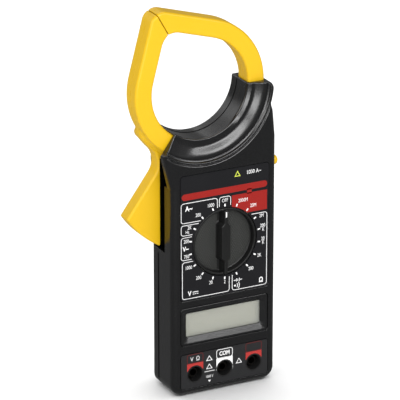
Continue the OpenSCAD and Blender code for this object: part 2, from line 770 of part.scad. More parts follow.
// ---- battery cover ----
module battery_cover() {
  color([0.2, 0.2, 0.2]) difference() {
    translate([-cover_x + 0.15, back_in, cover_z0 + 0.15])
      cube([2 * cover_x - 0.3, 2, cover_z1 - cover_z0 - 0.3]);
    bar_y(0, cover_screw_z, 1.5, back_in - 1, back_y + 1);
    bar_y(0, cover_screw_z, 2.6, back_y - 1.2, back_y + 1);
    for (i = [0:4]) translate([-7, back_y - 0.6, 10 + i * 2.4]) cube([14, 1, 1.2]);
  }
}
module cover_screw() {
  color([0.6, 0.6, 0.62]) {
    bar_y(0, cover_screw_z, screw_r, 12, back_y - 1.2);
    bar_y(0, cover_screw_z, 2.4, back_y - 1.2, back_y - 0.1);
  }
}

front_case();
rear_case();
face_label();
jack_label();
rear_label();
lcd_frame();
lcd_window();
lcd_glass();
zebra_strips();
main_board();
board_chips();
trimmers();
buzzer();
board_screws();
jack_tubes();
jack_shrouds();
battery();
battery_snap();
battery_leads();
battery_pads();
case_screws();
fixed_jaw_front();
fixed_jaw_rear();
fixed_jaw_core();
fixed_jaw_coil();
fixed_coil_leads();
pivot_pin();
jaw_spring();
hold_switch();
hold_board();
detent_ring();
moving_jaw_front();
moving_jaw_rear();
moving_jaw_core();
moving_jaw_coil();
moving_jaw_screws();
pivot_bush();
range_knob();
knob_pointer();
selector_rotor();
wiper_contacts();
detent_balls();
detent_springs();
knob_clip();
hold_button();
hold_spring();
battery_cover();
cover_screw();
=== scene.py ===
import json
import math

import bpy
import numpy as np
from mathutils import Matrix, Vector


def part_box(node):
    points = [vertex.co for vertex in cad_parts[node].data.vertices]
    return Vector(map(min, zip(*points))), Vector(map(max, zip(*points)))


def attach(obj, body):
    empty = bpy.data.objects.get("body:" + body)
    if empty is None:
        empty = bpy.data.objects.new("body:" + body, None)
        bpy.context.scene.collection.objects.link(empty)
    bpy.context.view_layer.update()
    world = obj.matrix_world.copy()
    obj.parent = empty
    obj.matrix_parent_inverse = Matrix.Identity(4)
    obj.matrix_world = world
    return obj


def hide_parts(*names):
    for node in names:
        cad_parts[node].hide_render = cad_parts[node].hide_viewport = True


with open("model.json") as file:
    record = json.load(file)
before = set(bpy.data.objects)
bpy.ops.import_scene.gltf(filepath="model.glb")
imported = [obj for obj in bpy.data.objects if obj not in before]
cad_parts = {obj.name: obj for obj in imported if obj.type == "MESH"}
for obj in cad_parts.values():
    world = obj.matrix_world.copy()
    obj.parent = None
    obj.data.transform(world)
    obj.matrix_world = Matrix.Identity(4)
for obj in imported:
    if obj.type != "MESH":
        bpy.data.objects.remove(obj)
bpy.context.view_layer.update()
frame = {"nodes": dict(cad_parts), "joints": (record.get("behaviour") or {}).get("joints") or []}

MM = 0.001
JOINT = {j["name"]: j for j in frame["joints"]}


def mm_box(node):
    """Lowest and highest corner of a CAD node, in millimetres."""
    low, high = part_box(node)
    return [v / MM for v in low], [v / MM for v in high]


# ---- sizes, in millimetres, from the frame and from the design ----
FRONT = mm_box("face_label")[0][1]
PART = mm_box("rear_case")[0][1]
BACK = mm_box("rear_case")[1][1]
HALF = 33.3
PIVOT = [v / MM for v in JOINT["jaw_hinge"]["pos_m"]]
DIAL = [v / MM for v in JOINT["selector_turn"]["pos_m"]]
HOLD_LOW, HOLD_HIGH = mm_box("hold_button")
HOLD_Y = (HOLD_LOW[1] + HOLD_HIGH[1]) / 2
HOLD_Z = (HOLD_LOW[2] + HOLD_HIGH[2]) / 2
JACK_LOW, JACK_HIGH = mm_box("jack_shrouds")
JACK_Z = (JACK_LOW[2] + JACK_HIGH[2]) / 2
JACK_PITCH = (JACK_HIGH[0] - JACK_LOW[0]) / 2 - 5.35
RING_X, RING_Z = -11.8, 182.5
RING_IN, RING_OUT = 30.1, 40.7
JAW_HALF = 6.5
TRIGGER_BACK = 10.0
TRIGGER_R = 60.0
COLLAR_IN, COLLAR_OUT = 28.7, 44.0
COLLAR_START = 234.0
COLLAR_BACK = 12.0
REAR_FLARE_X = 33.6
CHAMFER_Y, CHAMFER_SLOPE = 11.3, 0.6
MOUTH_Z = 182.4
SCREWS = [(-24.5, 28), (24.5, 28), (-24.5, 72), (24.5, 150)]
KNOB_R = 20.3
RECESS_Y = -9.2
GRIP_Y = -15.5
STEP = 0.45


# ---- distance fields: negative inside, in millimetres ----
def meet(a, b, r=0.0):
    """What lies in both a and b, with its edge rounded by r."""
    if r <= 0:
        return np.maximum(a, b)
    u, v = np.maximum(a + r, 0), np.maximum(b + r, 0)
    return np.minimum(np.maximum(a, b), -r) + np.sqrt(u * u + v * v)


def join(a, b, r=0.0):
    """What lies in a or b, with a fillet of radius r between them."""
    return -meet(-a, -b, r)


def cut(a, b, r=0.0):
    """a without b, with the rim rounded by r."""
    return meet(a, -b, r)


def between(v, low, high):
    return np.abs(v - (low + high) / 2) - (high - low) / 2


def turn(cx, cz, r, a):
    return (cx + r * math.cos(math.radians(a)), cz + r * math.sin(math.radians(a)))


def arc(cx, cz, r, a0, a1, n=12):
    return [turn(cx, cz, r, a0 + (a1 - a0) * i / n) for i in range(n + 1)]


def ring_pt(r, a):
    return turn(RING_X, RING_Z, r, a)


def outline(points, x, z):
    """Signed distance in the XZ plane to a closed outline."""
    x, z = np.broadcast_arrays(x, z)
    best = np.full(x.shape, 1e9)
    inside = np.zeros(x.shape, bool)
    for (ax, az), (bx, bz) in zip(points, points[1:] + points[:1]):
        ex, ez = bx - ax, bz - az
        px, pz = x - ax, z - az
        length = ex * ex + ez * ez
        if length < 1e-12:
            continue
        t = np.clip((px * ex + pz * ez) / length, 0, 1)
        best = np.minimum(best, (px - t * ex) ** 2 + (pz - t * ez) ** 2)
        crosses = (az > z) != (bz > z)
        if ez != 0:
            inside ^= crosses & (px < pz * ex / ez)
    return np.where(inside, -1, 1) * np.sqrt(best)


def rect(x0, z0, x1, z1, r, x, z):
    """Signed distance to a rectangle with round corners."""
    dx = np.abs(x - (x0 + x1) / 2) - (x1 - x0) / 2 + r
    dz = np.abs(z - (z0 + z1) / 2) - (z1 - z0) / 2 + r
    out = np.sqrt(np.maximum(dx, 0) ** 2 + np.maximum(dz, 0) ** 2)
    return out + np.minimum(np.maximum(dx, dz), 0) - r


def disc(cx, cz, r, x, z):
    return np.sqrt((x - cx) ** 2 + (z - cz) ** 2) - r


# ---- meshes ----
CORNERS = [(i, j, k) for i in (0, 1) for j in (0, 1) for k in (0, 1)]
EDGES = [(a, b) for a in range(8) for b in range(a + 1, 8)
         if sum(p != q for p, q in zip(CORNERS[a], CORNERS[b])) == 1]


def gradient(field, p, h=0.03):
    g = np.empty_like(p)
    for i in range(3):
        up, down = p.copy(), p.copy()
        up[:, i] += h
        down[:, i] -= h
        g[:, i] = (field(*up.T) - field(*down.T)) / (2 * h)
    return g


def surface_net(field, low, high, step):
    """Vertices and quads of the surface where field is zero."""
    axes = [np.arange(lo - 1.5 * step, hi + 2.5 * step, step) for lo, hi in zip(low, high)]
    f = field(axes[0][:, None, None], axes[1][None, :, None], axes[2][None, None, :])
    f = np.broadcast_to(f, [len(a) for a in axes])
    inside = f < 0
    count = sum(inside[i:i + f.shape[0] - 1, j:j + f.shape[1] - 1, k:k + f.shape[2] - 1].astype(np.int8)
                for i, j, k in CORNERS)
    cells = np.argwhere((count > 0) & (count < 8))
    vals = np.stack([f[cells[:, 0] + i, cells[:, 1] + j, cells[:, 2] + k] for i, j, k in CORNERS], 1)
    total, hits = np.zeros((len(cells), 3)), np.zeros(len(cells))
    for a, b in EDGES:
        hit = (vals[:, a] < 0) != (vals[:, b] < 0)
        t = np.where(hit, vals[:, a] / np.where(hit, vals[:, a] - vals[:, b], 1), 0)
        start, end = np.array(CORNERS[a]), np.array(CORNERS[b])
        total += (start[None] + t[:, None] * (end - start)[None]) * hit[:, None]
        hits += hit
    local = total / hits[:, None]
    origin = np.array([a[0] for a in axes])
    points = origin + (cells + local) * step
    index = np.full(count.shape, -1, np.int64)
    index[tuple(cells.T)] = np.arange(len(cells))
    quads = []
    for axis in range(3):
        near = [slice(1, -1)] * 3
        near[axis] = slice(0, -1)
        far = list(near)
        far[axis] = slice(1, None)
        a, b = inside[tuple(near)], inside[tuple(far)]
        at = np.argwhere(a != b)
        flip = a[tuple(at.T)]
        shift = np.array([1, 1, 1])
        shift[axis] = 0
        at = at + shift
        u, v = [(1, 2), (2, 0), (0, 1)][axis]
        corner = []
        for du, dv in ((-1, -1), (0, -1), (0, 0), (-1, 0)):
            c = at.copy()
            c[:, u] += du
            c[:, v] += dv
            corner.append(index[tuple(c.T)])
        q = np.stack(corner, 1)
        quads.append(np.where(flip[:, None], q, q[:, ::-1]))
    start = points.copy()
    for _ in range(3):
        g = gradient(field, points)
        size = np.maximum((g * g).sum(1), 0.05)
        points = points - (field(*points.T) / size)[:, None] * g
        points = start + np.clip(points - start, -0.75 * step, 0.75 * step)
    return points, np.concatenate(quads)


def solid(name, field, low, high, triangles, step=STEP):
    """A mesh of the field's surface, thinned to about that many triangles, with true normals."""
    points, quads = surface_net(field, low, high, step)
    mesh = bpy.data.meshes.new(name)
    mesh.from_pydata((points * MM).tolist(), [], quads.tolist())
    obj = bpy.data.objects.new(name, mesh)
    bpy.context.scene.collection.objects.link(obj)
    now = 2 * len(quads)
    if now > triangles:
        thin = obj.modifiers.new("thin", "DECIMATE")
        thin.ratio = triangles / now
        thin.use_collapse_triangulate = True
        ready = obj.evaluated_get(bpy.context.evaluated_depsgraph_get())
        mesh = bpy.data.meshes.new_from_object(ready)
        obj.modifiers.clear()
        obj.data = mesh
    mesh.name = name
    true_normals(mesh, field)
    return obj


def true_normals(mesh, field):
    count = len(mesh.loops)
    vert = np.empty(count, np.int32)
    mesh.loops.foreach_get("vertex_index", vert)
    co = np.empty(len(mesh.vertices) * 3)
    mesh.vertices.foreach_get("co", co)
    co = co.reshape(-1, 3) / MM
    total = np.empty(len(mesh.polygons), np.int32)
    mesh.polygons.foreach_get("loop_total", total)
    face = np.repeat(np.arange(len(total)), total)
    centre = np.zeros((len(total), 3))
    for i in range(3):
        centre[:, i] = np.bincount(face, co[vert, i]) / total
    flat = np.empty(len(total) * 3)
    mesh.polygons.foreach_get("normal", flat)
    flat = flat.reshape(-1, 3)[face]
    p = co[vert] + 0.12 * (centre[face] - co[vert])
    n = gradient(field, p)
    n /= np.maximum(np.linalg.norm(n, axis=1), 1e-6)[:, None]
    bad = (n * flat).sum(1) < 0.5
    n[bad] = flat[bad]
    mesh.shade_smooth()
    mesh.normals_split_custom_set(n.tolist())


# ---- materials ----
ROUGH_VARIES = 0.06


def material(name, color, rough, bump=0.0, grain=0.0004, mottle=0.03, metal=0.0, gloss_level=0.5):
    """A moulded or metal surface: slight colour and gloss variation, and a fine grain."""
    mat = bpy.data.materials.new(name)
    mat.use_nodes = True
    nodes, links = mat.node_tree.nodes, mat.node_tree.links
    shader = nodes["Principled BSDF"]
    shader.inputs["Metallic"].default_value = metal
    shader.inputs["Specular IOR Level"].default_value = gloss_level
    where = nodes.new("ShaderNodeTexCoord")
    cloud = nodes.new("ShaderNodeTexNoise")
    cloud.inputs["Scale"].default_value = 90
    cloud.inputs["Detail"].default_value = 3
    links.new(where.outputs["Object"], cloud.inputs["Vector"])
    tint = nodes.new("ShaderNodeMapRange")
    tint.inputs["To Min"].default_value = 1 - mottle
    tint.inputs["To Max"].default_value = 1 + mottle
    links.new(cloud.outputs["Fac"], tint.inputs["Value"])
    mix = nodes.new("ShaderNodeVectorMath")
    mix.operation = "SCALE"
    mix.inputs[0].default_value = color
    links.new(tint.outputs["Result"], mix.inputs["Scale"])
    links.new(mix.outputs["Vector"], shader.inputs["Base Color"])
    gloss = nodes.new("ShaderNodeMapRange")
    gloss.inputs["To Min"].default_value = max(rough - ROUGH_VARIES, 0.03)
    gloss.inputs["To Max"].default_value = min(rough + ROUGH_VARIES, 1)
    links.new(cloud.outputs["Fac"], gloss.inputs["Value"])
    links.new(gloss.outputs["Result"], shader.inputs["Roughness"])
    if bump:
        fine = nodes.new("ShaderNodeTexNoise")
        fine.inputs["Scale"].default_value = 1 / grain
        fine.inputs["Detail"].default_value = 2
        links.new(where.outputs["Object"], fine.inputs["Vector"])
        relief = nodes.new("ShaderNodeBump")
        relief.inputs["Strength"].default_value = bump
        relief.inputs["Distance"].default_value = 0.0001
        links.new(fine.outputs["Fac"], relief.inputs["Height"])
        links.new(relief.outputs["Normal"], shader.inputs["Normal"])
    return mat


BLACK = material("case_black", (0.0035, 0.0036, 0.004), 0.25, bump=0.3, grain=0.0005, gloss_level=0.75)
YELLOW = material("yellow_abs", (0.665, 0.405, 0.0055), 0.36, bump=0.08, grain=0.0006, mottle=0.015,
                  gloss_level=0.35)
KNOB = material("knob_grey", (0.006, 0.0062, 0.006), 0.4, bump=0.3, grain=0.0006)
FILM = material("label_film", (0.0065, 0.0065, 0.008), 0.35, bump=0.1, grain=0.0003, gloss_level=0.5)
# painted light: the jack label's black is lighter than the face label's, standing in for the brighter
# light falling on the lower front
JACK_FILM_PAINTED_LIGHT = material("jack_film_painted_light", (0.016, 0.016, 0.017), 0.38, bump=0.1, grain=0.0003, gloss_level=0.5)
REAR_FILM = material("rear_film", (0.16, 0.16, 0.165), 0.5, bump=0.1)
WHITE = material("print_white", (0.80, 0.80, 0.80), 0.5)
RED = material("print_red", (0.27, 0.009, 0.006), 0.45, gloss_level=0.25)
PALE_RED = material("print_pale_red", (0.40, 0.03, 0.026), 0.45, gloss_level=0.25)
LIME = material("print_lime", (0.55, 0.62, 0.06), 0.5)
LCD = material("lcd_grey", (0.18, 0.18, 0.12), 0.3, mottle=0.02)
# painted shade: a near-black, almost matt finish for the seam bead, standing in for the shadow in the gap
# between the case halves
SEAM_SHADE_PAINT = material("seam_painted_shade", (0.001, 0.001, 0.001), 0.8, gloss_level=0.1)
DARK = material("part_black", (0.012, 0.012, 0.012), 0.35, bump=0.1)
RUBBER = material("rubber_grey", (0.06, 0.06, 0.06), 0.7, bump=0.2)
BRASS = material("brass", (0.72, 0.50, 0.20), 0.28, metal=1.0)
# painted shade: the socket metal is made almost black, standing in for the shade deep inside the jack
# holes
SOCKET_SHADE_PAINT = material("socket_metal_painted_shade", (0.03, 0.028, 0.025), 0.35, metal=1.0)
DEEP_RED = material("print_deep_red", (0.13, 0.006, 0.006), 0.45)
STEEL = material("steel", (0.55, 0.55, 0.57), 0.3, metal=1.0, bump=0.05)
IRON = material("core_iron", (0.30, 0.30, 0.32), 0.4, metal=1.0, bump=0.2)
COPPER = material("copper_wire", (0.62, 0.24, 0.08), 0.3, metal=1.0, bump=0.3, grain=0.0003)
BOARD = material("board_green", (0.012, 0.12, 0.045), 0.3, bump=0.1)
BLUE = material("trimmer_blue", (0.02, 0.06, 0.32), 0.35)
IVORY = material("rotor_ivory", (0.55, 0.55, 0.46), 0.45)
CAN = material("battery_can", (0.05, 0.05, 0.07), 0.3, metal=0.4)
WIRE = material("wire_cover", (0.42, 0.02, 0.015), 0.4)


def stippled():
    """The dial's recess: fine raised dots in slanting rows."""
    mat = material("knob_stipple", (0.028, 0.029, 0.027), 0.42, gloss_level=0.5)
    nodes, links = mat.node_tree.nodes, mat.node_tree.links
    where = nodes.new("ShaderNodeTexCoord")
    rows = []
    for lean in (35, -35):
        place = nodes.new("ShaderNodeMapping")
        place.inputs["Rotation"].default_value = (0, math.radians(lean), 0)
        links.new(where.outputs["Object"], place.inputs["Vector"])
        wave = nodes.new("ShaderNodeTexWave")
        wave.bands_direction = "X"
        wave.inputs["Scale"].default_value = 260
        links.new(place.outputs["Vector"], wave.inputs["Vector"])
        rows.append(wave)
    dots = nodes.new("ShaderNodeMath")
    dots.operation = "MULTIPLY"
    for i, wave in enumerate(rows):
        links.new(wave.outputs["Fac"], dots.inputs[i])
    relief = nodes.new("ShaderNodeBump")
    relief.inputs["Strength"].default_value = 0.9
    relief.inputs["Distance"].default_value = 0.0002
    links.new(dots.outputs["Value"], relief.inputs["Height"])
    links.new(relief.outputs["Normal"], nodes["Principled BSDF"].inputs["Normal"])
    return mat


def clear_window():
    mat = bpy.data.materials.new("lcd_clear")
    mat.use_nodes = True
    nodes, links = mat.node_tree.nodes, mat.node_tree.links
    shader = nodes["Principled BSDF"]
    shader.inputs["Base Color"].default_value = (0.9, 0.92, 0.9, 1)
    shader.inputs["Alpha"].default_value = 0.12
    where = nodes.new("ShaderNodeTexCoord")
    smear = nodes.new("ShaderNodeTexNoise")
    smear.inputs["Scale"].default_value = 60
    links.new(where.outputs["Object"], smear.inputs["Vector"])
    gloss = nodes.new("ShaderNodeMapRange")
    gloss.inputs["To Min"].default_value = 0.04
    gloss.inputs["To Max"].default_value = 0.12
    links.new(smear.outputs["Fac"], gloss.inputs["Value"])
    links.new(gloss.outputs["Result"], shader.inputs["Roughness"])
    return mat


CLEAR = clear_window()
CAD_LOOKS = {
    "face_label": FILM, "jack_label": JACK_FILM_PAINTED_LIGHT, "rear_label": REAR_FILM, "lcd_window": CLEAR,
    "lcd_glass": LCD, "zebra_strips": RUBBER, "main_board": BOARD, "board_chips": DARK,
    "trimmers": BLUE, "buzzer": DARK, "board_screws": STEEL, "jack_tubes": SOCKET_SHADE_PAINT,
    "jack_shrouds": DARK, "battery": CAN, "battery_snap": DARK, "battery_leads": WIRE,
    "battery_pads": RUBBER, "case_screws": STEEL, "fixed_jaw_core": IRON, "fixed_jaw_coil": COPPER,
    "fixed_coil_leads": WIRE, "pivot_pin": STEEL, "jaw_spring": STEEL, "hold_switch": DARK,
    "hold_board": BOARD, "detent_ring": DARK, "moving_jaw_core": IRON, "moving_jaw_coil": COPPER,
    "moving_jaw_screws": STEEL, "pivot_bush": BRASS, "knob_pointer": WHITE, "selector_rotor": IVORY,
    "wiper_contacts": BRASS, "detent_balls": STEEL, "detent_springs": STEEL, "knob_clip": STEEL,
    "hold_spring": STEEL, "battery_cover": BLACK, "cover_screw": STEEL,
    "front_case": BLACK, "rear_case": BLACK, "lcd_frame": BLACK, "range_knob": KNOB,
    "hold_button": YELLOW, "fixed_jaw_front": YELLOW, "fixed_jaw_rear": YELLOW,
    "moving_jaw_front": YELLOW, "moving_jaw_rear": YELLOW}
ROUNDED_NODES = {"battery_cover": 0.25, "case_screws": 0.12, "cover_screw": 0.12, "jack_shrouds": 0.12,
                 "jack_tubes": 0.15, "face_label": 0.05, "jack_label": 0.05, "rear_label": 0.05}


def dress_cad_nodes():
    for node, mat in CAD_LOOKS.items():
        obj = frame["nodes"][node]
        obj.data.materials.clear()
        obj.data.materials.append(mat)
        if node in ROUNDED_NODES:
            soft = obj.modifiers.new("soft_edges", "BEVEL")
            soft.width = ROUNDED_NODES[node] * MM
            soft.segments = 2
            soft.limit_method = "ANGLE"
            soft.angle_limit = math.radians(40)
            soft.use_clamp_overlap = True


def finish_piece(obj, body, mat, slot, *nodes):
    obj.data.materials.clear()
    obj.data.materials.append(mat)
    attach(obj, body)
    if nodes:
        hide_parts(*nodes)


# ---- the case ----
def case_sides(x, z):
    """Outline of the body seen from the front, running on past the collar's two ends."""
    points = (arc(-HALF + 7, 7, 7, 180, 270) + arc(HALF - 7, 7, 7, 270, 360)
              + [(HALF, 150), (32.5, 159), (31.9, 165.5), (31.0, 168.0)]
              + arc(RING_X, RING_Z, COLLAR_OUT + 0.6, -17, -6, 6) + arc(28.0, 177.9, 4.6, 0, 75, 6)
              + [(27.0, 184), (27.0, 195), (-42, 195), (-42, 160), ring_pt(COLLAR_OUT, COLLAR_START),
                 (-HALF - 0.4, 128.5), (-HALF, 127)])
    return outline(points, x, z)


# the collar's front: height above the mid-plane at each distance from the ring's centre
HEIGHT_R = [28.7, 30.0, 31.6, 32.8, 33.4, 34.2, 35.2, 36.2, 37.2, 38.2, 39.4, 60]
TORUS_Y = [8.5, 8.55, 8.6, 8.6, 8.85, 9.35, 10.0, 10.65, 11.2, 11.55, 11.6, 11.6]
PLAIN_Y = [8.5, 8.6, 8.8, 9.15, 9.35, 9.65, 10.0, 10.35, 10.7, 11.05, 11.5, 11.6]
SEAM = 0.18
SEAM_LINE_R = 0.2
TUBE_SIDES = 10
GROOVES = [(40.2, 0.4, 0.35), (42.75, 0.42, 0.32)]
RAMPS = [(41.4, 1.3, 0.38), (43.6, 0.6, 0.4)]
LIP_R, LIP_SLOPE = 31.3, 0.6
FINE_R = np.arange(26, 62, 0.05)
SOFT = np.exp(-np.linspace(-2.5, 2.5, 61) ** 2)


def smooth_table(values):
    raw = np.interp(FINE_R, HEIGHT_R, values)
    padded = np.pad(raw, 30, mode="edge")
    soft = np.convolve(padded, SOFT / SOFT.sum(), mode="valid")
    for r, rise, wide in RAMPS:
        soft = soft + rise * (1 + np.tanh((FINE_R - r) / wide)) / 2
    for r, deep, wide in GROOVES:
        soft = soft - deep * np.exp(-((FINE_R - r) / wide) ** 2)
    return soft


TORUS_TABLE, PLAIN_TABLE = smooth_table(TORUS_Y), smooth_table(PLAIN_Y)


def collar_front(x, z):
    """How far the collar's front stands out from the mid-plane, and its slope, at each place."""
    dx, dz = x - RING_X, z - RING_Z
    r = np.sqrt(dx * dx + dz * dz)
    angle = np.degrees(np.arctan2(dz, dx)) % 360
    blend = np.clip((angle - 250) / 16, 0, 1)
    blend = np.where(angle < 180, 1, blend)
    blend = blend * blend * (3 - 2 * blend)
    at = [np.interp(r, FINE_R, t) for t in (PLAIN_TABLE, TORUS_TABLE)]
    up = [np.interp(r + 0.1, FINE_R, t) for t in (PLAIN_TABLE, TORUS_TABLE)]
    height = at[0] * (1 - blend) + at[1] * blend
    slope = ((up[0] - at[0]) * (1 - blend) + (up[1] - at[1]) * blend) / 0.1
    lip = np.where(angle < 180, 1, np.clip((angle - 302) / 18, 0, 1)) * LIP_SLOPE
    height = height - lip * np.maximum(LIP_R - r, 0)
    slope = slope + lip * (r < LIP_R)
    return r, height, 1 / np.sqrt(1 + slope * slope)


def ray_side(x, z, a):
    """Signed distance to the line from the ring's centre at angle a; negative anticlockwise of it."""
    c, s = math.cos(math.radians(a)), math.sin(math.radians(a))
    return (x - RING_X) * s - (z - RING_Z) * c


def window_and_ends(d, x, z, lip):
    d = meet(d, z - MOUTH_Z, 0.7)
    d = meet(d, -disc(RING_X, RING_Z, COLLAR_IN, x, z), lip)
    return meet(d, ray_side(x, z, COLLAR_START), 0.6)


def jaw_ways(x, y, z):
    """The room that the jaws and the trigger take in the case."""
    ring = disc(RING_X, RING_Z, COLLAR_IN + 1.25, x, z)
    fixed = meet(meet(disc(RING_X, RING_Z, RING_OUT + 0.2, x, z), -ring), between(y, -6.7, 6.7), 0.8)
    fixed = meet(fixed, meet(MOUTH_Z - 3.0 - z, -x))
    sweep = outline([ring_pt(29, 226), ring_pt(62, 226), (-60, 128), (-20, 127), (8, 131),
                     ring_pt(RING_OUT + 0.2, 287), ring_pt(29, 287)], x, z)
    sweep = meet(meet(sweep, -ring), between(y, -6.7, 10.3), 0.8)
    slot = meet(rect(-60, 86.5, -22, 131, 1.0, x, z), between(y, -3.0, 11.0))
    return np.minimum(np.minimum(fixed, sweep), slot)


def case_block(x, y, z, room=0.0):
    """The outside of the whole case, both halves, before it is split."""
    sides = case_sides(x, z) + room
    taper = np.maximum(y - CHAMFER_Y, 0) * CHAMFER_SLOPE
    sides = (sides + taper) / np.where(y > CHAMFER_Y, math.hypot(1, CHAMFER_SLOPE), 1)
    front = FRONT - y + room
    d = meet(sides, front, max(4.0 - room, 0.6))
    d = meet(d, y - BACK + room * 0.9, max(2.0 - room, 0.4))
    return d


def front_case_field(x, y, z):
    d = case_block(x, y, z)
    r, height, lean = collar_front(x, z)
    collar = (-height - y) * lean
    near = np.clip((r - 43.0) / 1.2, 0, 1)
    d = np.maximum(d, np.where(r < 44.2, collar * (1 - near) + (FRONT - y) * near, -50))
    d = window_and_ends(d, x, z, 0.9)
    hollow = meet(case_block(x, y, z, 2.2), 44.6 - r, 0.5)
    d = cut(d, hollow, 0.2)
    d = cut(d, jaw_ways(x, y, z), 0.3)
    label = meet(rect(-28.4, 58.9, 28.4, 135.1, 2.0, x, z), y - FRONT - 0.5)
    sockets = meet(rect(-28.4, 3.8, 28.4, 25.7, 1.5, x, z), y - FRONT - 0.5)
    d = cut(d, np.minimum(label, sockets), 0.15)
    dial = meet(disc(DIAL[0], DIAL[2], KNOB_R + 0.4, x, z), y + 5.0)
    display = meet(rect(-28.3, 31.1, 28.3, 54.5, 2.0, x, z), y + 10.0)
    d = cut(d, np.minimum(dial, display), 0.2)
    for side in (-1, 0, 1):
        d = cut(d, meet(disc(side * JACK_PITCH, JACK_Z, 5.4, x, z), y + 8.0))
    button = np.sqrt((y - HOLD_Y) ** 2 + (z - HOLD_Z) ** 2) - 3.0
    d = cut(d, meet(button, 20 - x), 0.25)
    return meet(d, y - PART + SEAM, 0.12)


def rear_case_field(x, y, z):
    r = np.sqrt((x - RING_X) ** 2 + (z - RING_Z) ** 2)
    d = case_block(x, y, z)
    step_r = join(44.0 - r, y - COLLAR_BACK, 1.5)
    d = meet(d, step_r, 1.0)
    d = window_and_ends(d, x, z, 1.2)
    d = meet(d, 2.2 * np.clip((z - 134) / 6, 0, 1) - REAR_FLARE_X - x, 1.0)
    d = np.maximum(d, join(-HALF - x, y - COLLAR_BACK + 0.4, 0.5))
    hollow = meet(case_block(x, y, z, 2.0), 46.0 - r, 0.5)
    d = cut(d, hollow, 0.2)
    d = cut(d, jaw_ways(x, y, z), 0.3)
    cover = meet(rect(-17, 5, 17, 68, 0.3, x, z), 17.0 - y)
    label = meet(rect(-22, 84, 22, 126, 2.0, x, z), 19.0 - y)
    d = cut(d, np.minimum(cover, label), 0.15)
    for px, pz in SCREWS:
        d = join(d, meet(disc(px, pz, 3.7, x, z), between(y, PART, 18.0)), 0.4)
    for side in (-1, 1):
        rib = rect(side * 17.8 - 0.7, 5, side * 17.8 + 0.7, 59, 0.3, x, z)
        d = join(d, meet(rib, between(y, 8.0, 18.0)), 0.2)
    for px, pz in SCREWS:
        d = cut(d, meet(disc(px, pz, 2.8, x, z), 13.0 - y), 0.2)
    return meet(d, PART + SEAM - y, 0.12)


def tube(verts, faces, path, thick):
    """Adds a round bead of that radius along a path, whose points each give their outward side."""
    start = len(verts)
    for x, y, z, ox, oz in path:
        for i in range(TUBE_SIDES):
            a = 2 * math.pi * i / TUBE_SIDES
            verts.append(((x + ox * thick * math.cos(a)) * MM, (y + thick * math.sin(a)) * MM,
                          (z + oz * thick * math.cos(a)) * MM))
    for k in range(len(path) - 1):
        for i in range(TUBE_SIDES):
            a, b = start + k * TUBE_SIDES + i, start + k * TUBE_SIDES + (i + 1) % TUBE_SIDES
            faces.append([a, b, b + TUBE_SIDES, a + TUBE_SIDES])
    last = start + (len(path) - 1) * TUBE_SIDES
    faces.append([start + TUBE_SIDES - 1 - i for i in range(TUBE_SIDES)])
    faces.append([last + i for i in range(TUBE_SIDES)])


def ring_path(r, y, a0, a1):
    """Points along the ring, ending at the collar's mouth."""
    path = []
    for a in np.arange(a0, a1, 1.0):
        x, z = ring_pt(r, a)
        c, s = math.cos(math.radians(a)), math.sin(math.radians(a))
        if z < MOUTH_Z - 1.0:
            path.append((x, y, z, c, s))
    return path


def tube_piece(name, paths, thick, mat):
    verts, faces = [], []
    for path in paths:
        tube(verts, faces, path, thick)
    mesh = bpy.data.meshes.new(name)
    mesh.from_pydata(verts, [], faces)
    obj = bpy.data.objects.new(name, mesh)
    bpy.context.scene.collection.objects.link(obj)
    for p in mesh.polygons:
        p.use_smooth = True
    finish_piece(obj, "meter", mat, None)


def make_lines():
    """A near-black bead along where the case halves meet: painted shade standing in for the shadow in the
    gap between them.
    """
    seam = [ring_path(COLLAR_IN - 0.05, PART, COLLAR_START + 2, 364)]
    for side, top in ((-1, 84), (1, 150)):
        seam.append([(side * (HALF + 0.12), PART, z, side, 0) for z in (6, top)])
    tube_piece("case_seam_painted_shade", seam, SEAM_LINE_R, SEAM_SHADE_PAINT)


def make_case():
    front = solid("front_case_shell", front_case_field, (-38, FRONT, 0), (33, PART, 184), 60000)
    finish_piece(front, "meter", BLACK, "case_black", "front_case")
    rear = solid("rear_case_shell", rear_case_field, (-38, PART, 0), (33, BACK, 184), 40000)
    finish_piece(rear, "meter", BLACK, "case_black", "rear_case")


# ---- jaws ----
TANGENT_LEFT, TANGENT_TOP = 165.2, 74.3
SPLIT = (TANGENT_LEFT + TANGENT_TOP) / 2
CORNER_K = 1 / math.cos(math.radians((TANGENT_LEFT - TANGENT_TOP) / 2))


def teardrop(r, tip, round_tip, x, z):
    points = arc(RING_X, RING_Z, r, TANGENT_LEFT, TANGENT_TOP + 360, 72)
    points.append(ring_pt(r * CORNER_K, SPLIT))
    c, s = math.cos(math.radians(SPLIT)), math.sin(math.radians(SPLIT))
    along = (x - RING_X) * c + (z - RING_Z) * s
    return meet(outline(points, x, z), along - tip, round_tip)


def jaw_field(x, y, z, moving):
    thick = np.abs(y) - JAW_HALF
    d = meet(teardrop(RING_OUT, 54.4, 2.0, x, z), thick, 1.8)
    d = meet(d, -teardrop(RING_IN, 39.85, 3.0, x, z), 1.6)
    split = ray_side(x, z, SPLIT) * (1 if moving else -1) + 0.2
    d = meet(d, split, 0.35)
    end = -ray_side(x, z, 279.0) if moving else ray_side(x, z, 293.0)
    return meet(d, np.where(z > RING_Z + 5, -20.0, end), 0.3)


